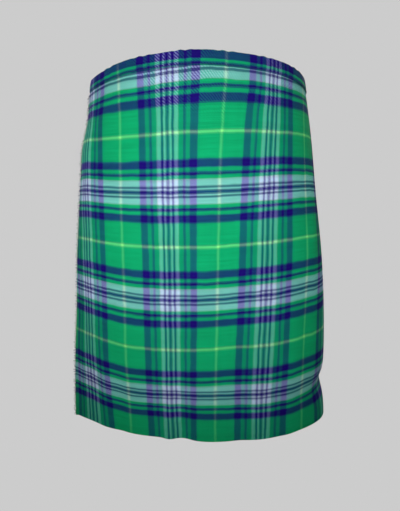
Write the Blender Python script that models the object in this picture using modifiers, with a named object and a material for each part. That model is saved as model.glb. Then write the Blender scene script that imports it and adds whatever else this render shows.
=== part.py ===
# A worn kilt: two flat aprons in front, knife pleats behind, a waistband,
# a frayed apron edge, and leather straps with buckles at the hips.
# Lengths are in metres. The front faces -Y, so the wearer's right is -X.
# The origin is the centre of the waist opening, halfway up the waistband.

import math
from collections import namedtuple

import bpy
import numpy as np
from mathutils import Vector

# Driving sizes of the garment
WAIST_TOP = 0.012
HEM = -0.601
BAND_DEPTH = 0.024
SEAM_GAP = 0.0003
WALL = 0.0014

# Half width and depths of the hollow form at each height
Level = namedtuple("Level", "z half_width front back squareness")
BODY = (
    Level(0.012, 0.1806, 0.120, 0.122, 2.15),
    Level(-0.080, 0.1955, 0.136, 0.140, 2.15),
    Level(-0.180, 0.2085, 0.146, 0.154, 2.15),
    Level(-0.300, 0.2262, 0.148, 0.162, 2.15),
    Level(-0.450, 0.2387, 0.146, 0.166, 2.15),
    Level(-0.601, 0.2410, 0.142, 0.168, 2.15),
)
RING_STEPS = 720

# Places round the body, as shares of its girth from the front centre.
# They grow towards the wearer's left and go on round the back.
APRON_EDGE = -0.205
APRON_SEAM = 0.262
UNDER_END = 0.232
LAST_FOLD = 0.715
UNDER_LEVEL = 0.747
BAND_DIVE_START = 0.720
BAND_DIVE_END = 0.765
BAND_DIVE_STEPS = 4
BEHIND_EDGE = 0.780

# Waist and hem edges dip or lift a little round the front
Edge = namedtuple("Edge", "share waist hem")
EDGES = (
    Edge(-0.300, -0.008, 0.000),
    Edge(-0.250, -0.013, -0.005),
    Edge(-0.212, -0.017, -0.010),
    Edge(-0.190, -0.013, 0.004),
    Edge(-0.175, -0.010, 0.008),
    Edge(-0.130, -0.001, 0.010),
    Edge(-0.085, 0.005, 0.008),
    Edge(-0.060, 0.007, 0.008),
    Edge(-0.030, 0.010, 0.008),
    Edge(0.000, 0.011, 0.003),
    Edge(0.060, 0.008, 0.001),
    Edge(0.130, 0.002, -0.003),
    Edge(0.175, -0.005, -0.005),
    Edge(0.212, -0.012, -0.008),
    Edge(0.300, -0.008, 0.000),
)

# Largest folds of the over-apron, which the first pleats share: arc from the front centre, middle height,
# reach along the arc, reach up and down, and how far they stand out
Fold = namedtuple("Fold", "arc z arc_reach z_reach out")
APRON_FOLDS = (
    Fold(-0.050, -0.610, 0.011, 0.070, 0.0050),
    Fold(-0.024, -0.610, 0.013, 0.060, -0.0030),
    Fold(0.262, -0.535, 0.060, 0.022, -0.0080),
    Fold(0.280, -0.610, 0.060, 0.050, 0.0060),
    Fold(-0.262, -0.610, 0.050, 0.090, 0.0045),
    Fold(-0.240, -0.390, 0.060, 0.080, -0.0040),
    Fold(-0.225, -0.170, 0.050, 0.075, 0.0050),
    Fold(0.110, -0.600, 0.030, 0.090, 0.0022),
)

# Heights of the aprons' rows below the strap slit, and of the pleats' rows
APRON_ROWS = (-0.055, -0.115, -0.190, -0.280, -0.370, -0.435, -0.485, -0.525, -0.560, HEM)
PLEAT_ROWS = (WAIST_TOP, -0.024, -0.095, -0.190, -0.280, -0.370, -0.485, -0.560, HEM)

# Columns of the aprons, closest together where the small folds hang
Columns = namedtuple("Columns", "start end steps")
APRON_COLUMNS = (
    Columns(APRON_EDGE, -0.095, 8),
    Columns(-0.080, 0.060, 12),
    Columns(0.080, UNDER_END, 10),
)

# Knife pleats: layer pitch and hidden return at waist and hem
PLEATS = 26
PLEAT_WALL = 0.0012
PLEAT_PITCH_WAIST = 0.0016
PLEAT_PITCH_HEM = 0.0019
RETURN_WAIST = 0.012
RETURN_HEM = 0.016
FELL_END = -0.190
PLEAT_SWELL = 0.0009
PLEAT_SWAY = 0.0013

# Layers measured outwards from the over-apron's outer face
BAND_OUT = SEAM_GAP + WALL
INNER_BAND_OUT = -0.0044
UNDER_OUT_WAIST = -0.0061
UNDER_OUT_HEM = -0.0024
UNDER_RISE_START = -0.145
UNDER_RISE_END = -0.320

# Frayed edge of the over-apron
FRINGE_STRANDS = 70
FRINGE_STRIP = 0.004
FRINGE_LENGTH = 0.013
FRINGE_WALL = 0.0011

# Leather straps, chapes and buckles
STRAP_WIDTH = 0.019
STRAP_WALL = 0.0018
CHAPE_WIDTH = 0.0172
CHAPE_WALL = 0.0012
CHAPE_LENGTH = 0.034
CHAPE_LAP = 0.024
WIRE = 0.0026
PRONG_WIRE = 0.0022
FRAME_LENGTH = 0.024
FRAME_WIDTH = 0.023
FRAME_CORNER = 0.0025
PRONG_SLOT = 0.0034
TIP_REACH = 0.038
HIP_HEIGHT = -0.115
SLIT_WIDTH = 0.0086
SLIT_HEIGHT = 0.0202
SLIT_BEFORE_SEAM = 0.010


def ease(value, start, end):
    """Smooth step from 0 at start to 1 at end."""
    share = min(max((value - start) / (end - start), 0.0), 1.0)
    return share * share * (3.0 - 2.0 * share)


def mix(first, second, share):
    return first + (second - first) * share


def smooth_read(places, values, place):
    """Cubic curve through the values at rising places."""
    place = min(max(place, places[0]), places[-1])
    slopes = np.gradient(values, places)
    last = len(places) - 2
    i = min(int(np.searchsorted(places, place, side="right")) - 1, last)
    step = places[i + 1] - places[i]
    t = (place - places[i]) / step
    rise = (2 * t**3 - 3 * t**2 + 1) * values[i] + (-2 * t**3 + 3 * t**2) * values[i + 1]
    lean = (t**3 - 2 * t**2 + t) * slopes[i] + (t**3 - t**2) * slopes[i + 1]
    return rise + lean * step


def body_value(column, z):
    levels = BODY[::-1]
    places = [level.z for level in levels]
    return smooth_read(places, [getattr(level, column) for level in levels], z)


class Ring:
    """One level section of the hollow form, read by arc length from the front."""

    def __init__(self, z):
        angle = np.linspace(0.0, 2.0 * math.pi, RING_STEPS + 1)
        power = 2.0 / body_value("squareness", z)
        side, fore = np.sin(angle), np.cos(angle)
        depth = np.where(fore > 0, body_value("front", z), body_value("back", z))
        x = body_value("half_width", z) * np.sign(side) * np.abs(side) ** power
        y = -depth * np.sign(fore) * np.abs(fore) ** power
        steps = np.hypot(np.diff(x), np.diff(y))
        self.arcs = np.concatenate([[0.0], np.cumsum(steps)])
        self.girth = float(self.arcs[-1])
        self.x = x
        self.y = y

    def place(self, arc):
        arc = arc % self.girth
        return float(np.interp(arc, self.arcs, self.x)), float(np.interp(arc, self.arcs, self.y))

    def point(self, arc, out):
        reach = 0.002
        x, y = self.place(arc)
        x0, y0 = self.place(arc - reach)
        x1, y1 = self.place(arc + reach)
        length = math.hypot(x1 - x0, y1 - y0)
        return x + out * (y1 - y0) / length, y - out * (x1 - x0) / length


RINGS = {}


def ring(z):
    key = round(z, 6)
    if key not in RINGS:
        RINGS[key] = Ring(z)
    return RINGS[key]


def edge_shift(share, z):
    """How far the edges' dips and lifts move a point at this height."""
    share = (share + 0.5) % 1.0 - 0.5
    places = [edge.share for edge in EDGES]
    waist = smooth_read(places, [edge.waist for edge in EDGES], share)
    hem = smooth_read(places, [edge.hem for edge in EDGES], share)
    down = min(max((WAIST_TOP - z) / (WAIST_TOP - HEM), 0.0), 1.0)
    return waist * (1.0 - down) ** 3 + hem * down**3


def on_body(z, arc, out):
    """World point at a height, an arc from the front centre and a layer."""
    level = ring(z)
    x, y = level.point(arc, out)
    return Vector((x, y, z + edge_shift(arc / level.girth, z)))


def apron_relief(z, arc):
    total = 0.0
    for fold in APRON_FOLDS:
        across = (arc - fold.arc) / fold.arc_reach
        along = (z - fold.z) / fold.z_reach
        total += fold.out * math.exp(-across * across - along * along)
    return total


def plain_material(name, colour, roughness, metallic):
    material = bpy.data.materials.new(name)
    material.use_nodes = True
    shader = material.node_tree.nodes["Principled BSDF"]
    shader.inputs["Base Color"].default_value = (*colour, 1.0)
    shader.inputs["Roughness"].default_value = roughness
    shader.inputs["Metallic"].default_value = metallic
    return material


def add_part(name, data, colour, roughness, metallic=0.0):
    part = bpy.data.objects.new(name, data)
    PARTS.objects.link(part)
    part.parent = WAIST
    data.materials.append(plain_material(name, colour, roughness, metallic))
    return part


def sheet(name, rows, wall, offset, colour, roughness, missing=()):
    """Wall on a grid of points; rows run down, columns towards the wearer's left."""
    width = len(rows[0])
    faces = []
    for j in range(len(rows) - 1):
        for i in range(width - 1):
            if (j, i) not in missing:
                a = j * width + i
                faces.append((a, a + width, a + width + 1, a + 1))
    used = sorted({corner for face in faces for corner in face})
    number = {old: new for new, old in enumerate(used)}
    points = [point for row in rows for point in row]
    mesh = bpy.data.meshes.new(name)
    mesh.from_pydata([points[k] for k in used], [], [[number[k] for k in face] for face in faces])
    mesh.shade_smooth()
    part = add_part(name, mesh, colour, roughness)
    thicken = part.modifiers.new("wall", "SOLIDIFY")
    thicken.thickness = wall
    thicken.offset = offset
    thicken.use_even_offset = True
    return part


def spread(start, end, steps):
    return [mix(start, end, k / steps) for k in range(steps)] + [end]


GREEN = (0.015, 0.25, 0.12)
NAVY = (0.03, 0.01, 0.22)
LEATHER = (0.03, 0.018, 0.012)
STEEL = (0.75, 0.75, 0.74)


# Over-apron
def slit_shares():
    """Shares of girth at the two sides of the strap slit in the left hip."""
    girth = ring(0.0).girth
    middle = APRON_SEAM * girth - SLIT_BEFORE_SEAM
    return (middle - SLIT_WIDTH / 2) / girth, (middle + SLIT_WIDTH / 2) / girth


def apron_heights():
    half_slit = SLIT_HEIGHT / 2
    return [WAIST_TOP, half_slit, -half_slit, *APRON_ROWS]


def apron_shares():
    shares = []
    for columns in APRON_COLUMNS:
        shares += spread(columns.start, columns.end, columns.steps)
    return shares + [*slit_shares(), APRON_SEAM]


def make_over_apron():
    shares = apron_shares()
    rows = []
    for z in apron_heights():
        girth = ring(z).girth
        rows.append([on_body(z, s * girth, apron_relief(z, s * girth)) for s in shares])
    slit_column = shares.index(slit_shares()[0])
    sheet("over_apron", rows, WALL, -1.0, GREEN, 0.85, {(1, slit_column)})


# Under-apron
def behind_edge_shares():
    """Columns from under the last pleat forward to the over-apron's free edge."""
    rise_middle = mix(LAST_FOLD, UNDER_LEVEL, 0.5)
    return [LAST_FOLD, rise_middle, UNDER_LEVEL, BAND_DIVE_END, BEHIND_EDGE]


def pleat_sizes(z):
    """Reveal, hidden return and layer pitch of the pleats at a height."""
    down = min(max((WAIST_TOP - z) / (WAIST_TOP - HEM), 0.0), 1.0)
    reveal = (LAST_FOLD - APRON_SEAM) * ring(z).girth / PLEATS
    return reveal, mix(RETURN_WAIST, RETURN_HEM, down), mix(PLEAT_PITCH_WAIST, PLEAT_PITCH_HEM, down)


def under_layer(z, arc, start):
    """Outer face of the under-apron: it rises from under the last pleat."""
    reveal, back, pitch = pleat_sizes(z)
    deep = -PLEAT_WALL / 2 - 2 * pitch * (back + reveal) / reveal + WALL / 2 - 2 * SEAM_GAP
    flat = mix(UNDER_OUT_WAIST, UNDER_OUT_HEM, ease(-z, -UNDER_RISE_START, -UNDER_RISE_END))
    level_arc = (UNDER_LEVEL - 1) * ring(z).girth
    return mix(deep, flat, ease(arc, start + back, level_arc))


def make_under_apron():
    shares = [share for share in apron_shares() if share <= UNDER_END]
    rows = []
    for z in apron_heights():
        girth = ring(z).girth
        start = (LAST_FOLD - 1) * girth - pleat_sizes(z)[1]
        arcs = [start] + [(share - 1) * girth for share in behind_edge_shares()]
        arcs += [share * girth for share in shares]
        row = []
        for arc in arcs:
            dent = min(apron_relief(z, arc), 0.0)
            row.append(on_body(z, arc, under_layer(z, arc, start) + dent))
        rows.append(row)
    sheet("under_apron", rows, WALL, -1.0, GREEN, 0.85)


# Pleated back
def pleat_sway(i, z):
    """Sideways wander of a fold edge below the fell."""
    free = ease(-z, -FELL_END, -HEM)
    return PLEAT_SWAY * free * (math.sin(2.4 * i + 5.0 * z) + 0.6 * math.sin(5.1 * i + 11.0 * z))


def pleat_path(z):
    """Middle line of the pleated cloth as (arc, out) pairs."""
    reveal, back, pitch = pleat_sizes(z)
    top = -PLEAT_WALL / 2
    slope = 2 * pitch / reveal
    start = APRON_SEAM * ring(z).girth
    free = ease(-z, -FELL_END, -HEM)
    path = [(start + SEAM_GAP, top)]
    fold_before = start
    for i in range(PLEATS):
        fold = start + (i + 1) * reveal
        if i < PLEATS - 1:
            fold += pleat_sway(i, z)
        swell = PLEAT_SWELL * mix(0.4, 1.0, free)
        low = top - slope * reveal
        path.append((mix(fold_before, fold, 0.45), mix(low, top, 0.45) + swell))
        path.append((fold, top))
        path.append((fold, top - pitch))
        inner = top - slope * (reveal + back)
        path.append((fold - back, inner + pitch))
        if i < PLEATS - 1:
            path.append((fold - back, inner))
        fold_before = fold
    return path


def make_pleated_back():
    rows = [[on_body(z, arc, out + apron_relief(z, arc)) for arc, out in pleat_path(z)] for z in PLEAT_ROWS]
    sheet("pleated_back", rows, PLEAT_WALL, 0.0, GREEN, 0.85)


# Waistband
def band_layer(share):
    return mix(BAND_OUT, INNER_BAND_OUT, ease(share, BAND_DIVE_START, BAND_DIVE_END))


def band_shares():
    """Columns of the cloth under the band: over-apron, folds, then under-apron."""
    outer = apron_shares()
    folds = spread(APRON_SEAM, LAST_FOLD, PLEATS)[1:]
    dive = spread(BAND_DIVE_START, BAND_DIVE_END, BAND_DIVE_STEPS)
    inner = [BEHIND_EDGE] + [1 + share for share in apron_shares() if share <= UNDER_END]
    return outer + folds + dive + inner


def make_waistband():
    half_slit = SLIT_HEIGHT / 2
    heights = [WAIST_TOP, half_slit, -half_slit, WAIST_TOP - BAND_DEPTH]
    shares = band_shares()
    rows = []
    for z in heights:
        girth = ring(z).girth
        rows.append([on_body(z, share * girth, band_layer(share)) for share in shares])
    slit_column = shares.index(slit_shares()[0])
    sheet("waistband", rows, WALL, -1.0, NAVY, 0.85, {(1, slit_column)})


# Frayed edge
def make_fringe():
    top = WAIST_TOP - BAND_DEPTH - 0.002
    bottom = HEM + 0.001
    bands = 2 * FRINGE_STRANDS + 1
    reaches = [SEAM_GAP, FRINGE_STRIP, FRINGE_LENGTH]
    lines = 2 * (FRINGE_STRANDS + 1)
    rows = []
    for j in range(lines):
        z = mix(top, bottom, j / (lines - 1))
        edge = APRON_EDGE * ring(z).girth
        strand = j // 2
        droop = 0.0012 * math.sin(1.7 * strand) + 0.0008 * math.sin(4.3 * strand)
        lift = 0.0005 * math.sin(2.9 * strand)
        row = []
        for reach in reaches:
            loose = max(reach - FRINGE_STRIP, 0.0) / (FRINGE_LENGTH - FRINGE_STRIP)
            longer = 1.0 + 0.12 * loose * math.sin(3.3 * strand)
            point = on_body(z, edge - reach * longer, apron_relief(z, edge) + lift * loose)
            point.z += droop * loose * loose
            row.append(point)
        rows.append(row[::-1])
    missing = {(j, i) for j in range(1, bands, 2) for i in range(len(reaches) - 2)}
    sheet("over_apron_fringe", rows, FRINGE_WALL, -1.0, GREEN, 0.9, missing)


# Straps, chapes and buckles
# side is -1 on the wearer's right and +1 on the left. A distance runs back
# along the body from start_arc. heel is where the buckle's hinge bar lies,
# seat is the layer that the strap and the chape lie on.
Set = namedtuple("Set", "name side z start_arc root leave settle heel seat")


def strap_sets():
    waist = ring(0.0)
    hip = ring(HIP_HEIGHT)
    edge_waist = -APRON_EDGE * waist.girth
    edge_hip = -APRON_EDGE * hip.girth
    fold_waist = (1.0 - LAST_FOLD) * waist.girth - edge_waist
    fold_hip = (1.0 - LAST_FOLD) * hip.girth - edge_hip
    slit = APRON_SEAM * waist.girth - SLIT_BEFORE_SEAM
    return (
        Set("right_waist", -1, 0.0, edge_waist, -0.018, 0.020, 0.042, fold_waist + 0.005, BAND_OUT),
        Set("right_hip", -1, HIP_HEIGHT, edge_hip, -0.018, 0.020, 0.042, fold_hip + 0.005, 0.0),
        Set("left_waist", 1, 0.0, slit, -0.022, -0.0034, 0.0034, 0.052, BAND_OUT),
    )


def place(kit, distance, across, out):
    """Point on a strap set: distance back along the body, height across it."""
    z = kit.z + across
    taper = ring(z).girth / ring(kit.z).girth
    return on_body(z, kit.side * (kit.start_arc + distance) * taper, out)


def strap_layer(kit, distance):
    """Middle of the strap: from under the cloth, through the frame, over the bar."""
    inside = -WALL - 2 * SEAM_GAP - STRAP_WALL / 2
    flat = kit.seat + 2 * SEAM_GAP + STRAP_WALL / 2
    over_bar = kit.seat + 3 * SEAM_GAP + 2 * CHAPE_WALL + WIRE + SEAM_GAP + STRAP_WALL / 2
    on_chape = kit.seat + 3 * SEAM_GAP + 2 * CHAPE_WALL + STRAP_WALL / 2
    out = mix(inside, flat, ease(distance, kit.leave, kit.settle))
    out = mix(out, over_bar, ease(distance, kit.heel - 0.016, kit.heel - 0.003))
    return mix(out, on_chape, ease(distance, kit.heel + 0.003, kit.heel + 0.016))


def grid_for(kit, rows):
    """Columns run towards the wearer's left, so the right side's are turned round."""
    return rows if kit.side > 0 else [row[::-1] for row in rows]


def make_strap(kit):
    end = kit.heel + TIP_REACH
    hole_start, hole_end = kit.heel - 0.0115, kit.heel + 0.0025
    middle = (kit.leave + kit.settle) / 2
    distances = spread(kit.root, kit.leave, 2) + [middle] + spread(kit.settle, kit.heel - 0.018, 3)
    distances += [hole_start, kit.heel - 0.0075, kit.heel - 0.003, hole_end]
    distances += spread(kit.heel + 0.007, end - 0.010, 3) + [end - 0.005, end - 0.0015, end]
    lines = [0.5, PRONG_SLOT / 2 / STRAP_WIDTH, -PRONG_SLOT / 2 / STRAP_WIDTH, -0.5]
    rows = []
    for line in lines:
        row = []
        for distance in distances:
            tip = max(distance - (end - 0.010), 0.0) / 0.010
            width = STRAP_WIDTH * math.sqrt(1.0 - 0.72 * tip * tip)
            row.append(place(kit, distance, line * width, strap_layer(kit, distance)))
        rows.append(row)
    first = distances.index(hole_start)
    last = distances.index(hole_end)
    columns = len(distances) - 1
    cells = range(first, last) if kit.side > 0 else range(columns - last, columns - first)
    sheet("strap_" + kit.name, grid_for(kit, rows), STRAP_WALL, 0.0, LEATHER, 0.5, {(1, i) for i in cells})


def chape_path(kit):
    """Leather tab folded round the hinge bar, as (distance, out) pairs."""
    low = kit.seat + SEAM_GAP + CHAPE_WALL / 2
    centre = kit.seat + 2 * SEAM_GAP + CHAPE_WALL + WIRE / 2
    radius = WIRE / 2 + SEAM_GAP + CHAPE_WALL / 2
    lap = low + CHAPE_WALL + SEAM_GAP
    path = [(kit.heel + CHAPE_LENGTH, low), (kit.heel + CHAPE_LAP, low)]
    path += [(kit.heel + 0.014, low), (kit.heel + 0.0035, low)]
    for k in range(7):
        angle = -math.pi / 2 - math.pi * k / 6
        path.append((kit.heel + radius * math.cos(angle), centre + radius * math.sin(angle)))
    path += [(kit.heel + 0.0035, centre + radius - 0.0003), (kit.heel + 0.014, lap)]
    path += [(kit.heel + CHAPE_LAP, lap)]
    return path


def make_chape(kit):
    path = chape_path(kit)
    lines = [CHAPE_WIDTH / 2, PRONG_SLOT / 2, -PRONG_SLOT / 2, -CHAPE_WIDTH / 2]
    rows = [[place(kit, distance, line, out) for distance, out in path] for line in lines]
    slot_start = 3
    slot_end = len(path) - 3
    columns = len(path) - 1
    cells = range(slot_start, slot_end)
    if kit.side < 0:
        cells = range(columns - slot_end, columns - slot_start)
    sheet("chape_" + kit.name, grid_for(kit, rows), CHAPE_WALL, 0.0, LEATHER, 0.5, {(1, i) for i in cells})


def wire(name, points, thickness, closed):
    curve = bpy.data.curves.new(name, "CURVE")
    curve.dimensions = "3D"
    curve.bevel_depth = thickness / 2
    curve.bevel_resolution = 2
    curve.use_fill_caps = not closed
    line = curve.splines.new("POLY")
    line.points.add(len(points) - 1)
    for spot, point in zip(line.points, points):
        spot.co = (*point, 1.0)
    line.use_cyclic_u = closed
    return add_part(name, curve, STEEL, 0.3, 1.0)


def frame_layer(kit, distance):
    """The frame leans from the hinge bar up to the bar that lies over the strap."""
    heel = kit.seat + 2 * SEAM_GAP + CHAPE_WALL + WIRE / 2
    front = kit.seat + 3 * SEAM_GAP + STRAP_WALL + WIRE / 2
    return mix(front, heel, (distance - kit.heel + FRAME_LENGTH) / FRAME_LENGTH)


def make_frame(kit):
    half = FRAME_WIDTH / 2
    front = kit.heel - FRAME_LENGTH
    corners = (
        (kit.heel - FRAME_CORNER, half - FRAME_CORNER, 0.0),
        (front + FRAME_CORNER, half - FRAME_CORNER, math.pi / 2),
        (front + FRAME_CORNER, FRAME_CORNER - half, math.pi),
        (kit.heel - FRAME_CORNER, FRAME_CORNER - half, 1.5 * math.pi),
    )
    points = []
    for distance, across, turn in corners:
        for k in range(4):
            angle = turn + math.pi / 2 * k / 3
            d = distance + FRAME_CORNER * math.cos(angle)
            a = across + FRAME_CORNER * math.sin(angle)
            points.append(place(kit, d, a, frame_layer(kit, d)))
    wire("buckle_" + kit.name, points, WIRE, True)


def make_prong(kit):
    centre = frame_layer(kit, kit.heel)
    radius = (WIRE + PRONG_WIRE) / 2 + SEAM_GAP
    front = kit.heel - FRAME_LENGTH
    front_top = frame_layer(kit, front) + radius
    points = []
    for k in range(6):
        angle = math.radians(-30 + 24 * k)
        points.append(place(kit, kit.heel + radius * math.cos(angle), 0.0, centre + radius * math.sin(angle)))
    for k in range(1, 5):
        distance = mix(kit.heel, front - 0.001, k / 4)
        points.append(place(kit, distance, 0.0, mix(centre + radius, front_top, k / 4)))
    wire("prong_" + kit.name, points, PRONG_WIRE, False)


for old in list(bpy.data.objects):
    bpy.data.objects.remove(old, do_unlink=True)
PARTS = bpy.data.collections.new("scottish_kilt")
bpy.context.scene.collection.children.link(PARTS)
WAIST = bpy.data.objects.new("waist_centre", None)
PARTS.objects.link(WAIST)

make_over_apron()
make_under_apron()
make_pleated_back()
make_waistband()
make_fringe()
for strap_set in strap_sets():
    make_strap(strap_set)
    make_chape(strap_set)
    make_frame(strap_set)
    make_prong(strap_set)
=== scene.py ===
# %% [markdown]
# A worn kilt, dressed for its portrait
#
# A kilt is one long piece of checked wool twill. Two flat aprons overlap in
# front, the rest is folded into knife pleats behind, and a narrow band holds
# the waist. Leather straps with buckles close it at the hips.
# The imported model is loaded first. It says where every piece of the kilt is,
# so each new piece only has to follow the same sizes.

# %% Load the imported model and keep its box
import math
from collections import namedtuple
from contextlib import contextmanager

import bpy
import numpy as np
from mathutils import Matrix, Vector


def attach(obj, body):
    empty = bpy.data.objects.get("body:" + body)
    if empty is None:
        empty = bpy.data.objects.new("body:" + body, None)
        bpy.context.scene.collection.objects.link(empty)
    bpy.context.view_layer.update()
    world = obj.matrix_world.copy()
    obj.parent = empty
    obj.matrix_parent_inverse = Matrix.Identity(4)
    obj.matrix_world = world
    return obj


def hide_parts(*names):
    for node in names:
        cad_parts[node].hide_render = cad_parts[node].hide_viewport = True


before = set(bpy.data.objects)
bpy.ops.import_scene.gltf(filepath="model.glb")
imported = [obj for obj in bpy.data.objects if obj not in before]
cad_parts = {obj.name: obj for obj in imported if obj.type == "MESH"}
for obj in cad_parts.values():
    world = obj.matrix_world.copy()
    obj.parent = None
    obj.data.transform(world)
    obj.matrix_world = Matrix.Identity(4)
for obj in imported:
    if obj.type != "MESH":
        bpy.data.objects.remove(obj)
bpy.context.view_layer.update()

# %% [markdown]
# The camera
#
# The photograph was taken close by, from just below the waist and tipped a
# little down. A camera with a wide lens close to the cloth gives the same
# curved stripes. Its place was found by fitting a pinhole camera to the
# crossings of the check, and it is set before anything else is made.

# %% Camera at the photograph's place
PHOTO_HEIGHT = 511
FOCAL_PIXELS = 420.0
SENSOR = 36.0
TIPPED_DOWN = 11.0


def add_object(name, data):
    obj = bpy.data.objects.new(name, data)
    bpy.context.scene.collection.objects.link(obj)
    return obj


camera_data = bpy.data.cameras.new("camera")
camera_data.sensor_width = SENSOR
camera_data.lens = FOCAL_PIXELS * SENSOR / PHOTO_HEIGHT
camera_data.clip_start = 0.01
camera_data.clip_end = 50.0
camera = add_object("camera", camera_data)
camera.location = (0.0017, -0.778, -0.155)
camera.rotation_euler = (math.radians(90.0 - TIPPED_DOWN), 0.0, 0.0)
bpy.context.scene.camera = camera
print("lens in mm:", round(camera_data.lens, 2))

# %% [markdown]
# The form under the cloth
#
# Worn cloth takes the shape of what it hangs on. Here that is a smooth hollow
# form, given by its half width and its depths at six heights. A ring is one
# level section through it. Places on the cloth are then given as a garment
# maker would: how far round from the front centre, how far down, and how many
# layers out.

# %% Sizes of the form, in metres
WAIST_TOP = 0.012
HEM = -0.601


def table(words, *rows):
    """Rows of numbers whose columns are read by these words."""
    Row = namedtuple("Row", words)
    return [Row(*row) for row in rows]


BODY = table(
    "z half_width front back",
    (-0.601, 0.2410, 0.142, 0.168),
    (-0.450, 0.2387, 0.146, 0.166),
    (-0.300, 0.2262, 0.148, 0.162),
    (-0.180, 0.2085, 0.146, 0.154),
    (-0.080, 0.1955, 0.136, 0.140),
    (0.012, 0.1806, 0.120, 0.122),
)
SQUARENESS = 2.15
RING_STEPS = 2880

# Places round the body, as shares of its girth from the front centre,
# growing towards the wearer's left and on round the back
APRON_EDGE = -0.205
APRON_SEAM = 0.262
UNDER_END = 0.232
LAST_FOLD = 0.715
UNDER_LEVEL = 0.747
BAND_DIVE_START = 0.720
BAND_DIVE_END = 0.765

# The waist and the hem dip or lift a little round the front, and the top edge
# puckers a little between its stitches
WAIST_RIPPLE = 0.0005
EDGES = table(
    "share waist hem",
    (-0.300, -0.008, 0.000), (-0.250, -0.013, -0.005), (-0.212, -0.017, -0.010), (-0.190, -0.013, 0.004),
    (-0.175, -0.010, 0.008), (-0.130, -0.001, 0.010), (-0.085, 0.005, 0.008), (-0.060, 0.007, 0.008),
    (-0.030, 0.010, 0.008), (0.000, 0.011, 0.003), (0.060, 0.008, 0.001), (0.130, 0.002, -0.003),
    (0.175, -0.005, -0.005), (0.212, -0.012, -0.008), (0.300, -0.008, 0.000),
)


# %% Read curves and rings
def ease(value, start, end):
    """Smooth step from 0 at start to 1 at end."""
    share = np.clip((np.asarray(value, float) - start) / (end - start), 0.0, 1.0)
    return share * share * (3.0 - 2.0 * share)


def mix(first, second, share):
    return first + (second - first) * share


def smooth_read(places, values, at):
    """Cubic curve through the values at rising places."""
    places, values = np.asarray(places, float), np.asarray(values, float)
    at = np.clip(at, places[0], places[-1])
    slopes = np.gradient(values, places)
    i = np.clip(np.searchsorted(places, at, side="right") - 1, 0, len(places) - 2)
    step = places[i + 1] - places[i]
    t = (at - places[i]) / step
    rise = (2 * t**3 - 3 * t**2 + 1) * values[i] + (3 * t**2 - 2 * t**3) * values[i + 1]
    lean = (t**3 - 2 * t**2 + t) * slopes[i] + (t**3 - t**2) * slopes[i + 1]
    return rise + lean * step


def read_column(rows, column, at, key="z"):
    return smooth_read([getattr(row, key) for row in rows], [getattr(row, column) for row in rows], at)


class Ring:
    """One level section of the form, read by arc length from the front."""

    def __init__(self, z):
        angle = np.linspace(0.0, 2.0 * math.pi, RING_STEPS + 1)
        power = 2.0 / SQUARENESS
        side, fore = np.sin(angle), np.cos(angle)
        depth = np.where(fore > 0, read_column(BODY, "front", z), read_column(BODY, "back", z))
        self.x = read_column(BODY, "half_width", z) * np.sign(side) * np.abs(side) ** power
        self.y = -depth * np.sign(fore) * np.abs(fore) ** power
        steps = np.hypot(np.diff(self.x), np.diff(self.y))
        self.arcs = np.concatenate([[0.0], np.cumsum(steps)])
        self.girth = float(self.arcs[-1])

    def place(self, arc):
        arc = np.asarray(arc, float) % self.girth
        return np.interp(arc, self.arcs, self.x), np.interp(arc, self.arcs, self.y)


RINGS = {}


def ring(z):
    key = round(float(z), 6)
    if key not in RINGS:
        RINGS[key] = Ring(z)
    return RINGS[key]


def share_down(z):
    """0 at the waist's edge and 1 at the hem."""
    return min(max((WAIST_TOP - z) / (WAIST_TOP - HEM), 0.0), 1.0)


def edge_shift(share, z):
    """How far the edges' dips and lifts move points at this height."""
    share = (share + 0.5) % 1.0 - 0.5
    down = share_down(z)
    waist = read_column(EDGES, "waist", share, "share")
    hem = read_column(EDGES, "hem", share, "share")
    ripple = WAIST_RIPPLE * np.sin(389 * share) * (0.6 + np.sin(97 * share + 4.0)) * (1.0 - down) ** 40
    return waist * (1.0 - down) ** 3 + hem * down**3 + ripple


print("girth at the waist:", round(ring(0.0).girth, 3), "and at the hem:", round(ring(HEM).girth, 3))

# %% [markdown]
# The folds of the front
#
# A flat apron still has shape. It kicks out over the thighs, caves in a little
# beside them, and its lower edge waves. Each fold is one soft bump given by
# its place, its reach and how far it stands out. The large ones are also in
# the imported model. The small ones only show as shading, so they are here.

# %% Table of folds
FOLD_WORDS = "arc z arc_reach z_reach out"
LARGE_FOLDS = table(
    FOLD_WORDS,
    (-0.050, -0.610, 0.011, 0.070, 0.0050), (-0.024, -0.610, 0.013, 0.060, -0.0030),
    (0.262, -0.535, 0.060, 0.022, -0.0080), (0.280, -0.610, 0.060, 0.050, 0.0060),
    (-0.262, -0.610, 0.050, 0.090, 0.0045), (-0.240, -0.390, 0.060, 0.080, -0.0040),
    (-0.225, -0.170, 0.050, 0.075, 0.0050), (0.110, -0.600, 0.030, 0.090, 0.0022),
)
FORM_SWELLS = table(
    FOLD_WORDS,
    (-0.212, 0.012, 0.035, 0.060, 0.0060), (-0.232, -0.105, 0.040, 0.035, 0.0040),
)
SMALL_FOLDS = table(
    FOLD_WORDS,
    (-0.165, -0.520, 0.016, 0.120, 0.0022), (-0.135, -0.560, 0.012, 0.080, -0.0014),
    (0.020, -0.480, 0.030, 0.140, 0.0016), (0.070, -0.560, 0.014, 0.100, -0.0014),
    (0.160, -0.540, 0.016, 0.130, 0.0016), (0.195, -0.430, 0.012, 0.120, -0.0014),
    (0.215, -0.240, 0.018, 0.090, 0.0015), (-0.180, -0.120, 0.012, 0.050, -0.0014),
    (-0.150, -0.060, 0.016, 0.035, 0.0012), (-0.085, -0.330, 0.035, 0.120, -0.0012),
    (0.105, -0.300, 0.040, 0.110, 0.0012),
)


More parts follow.
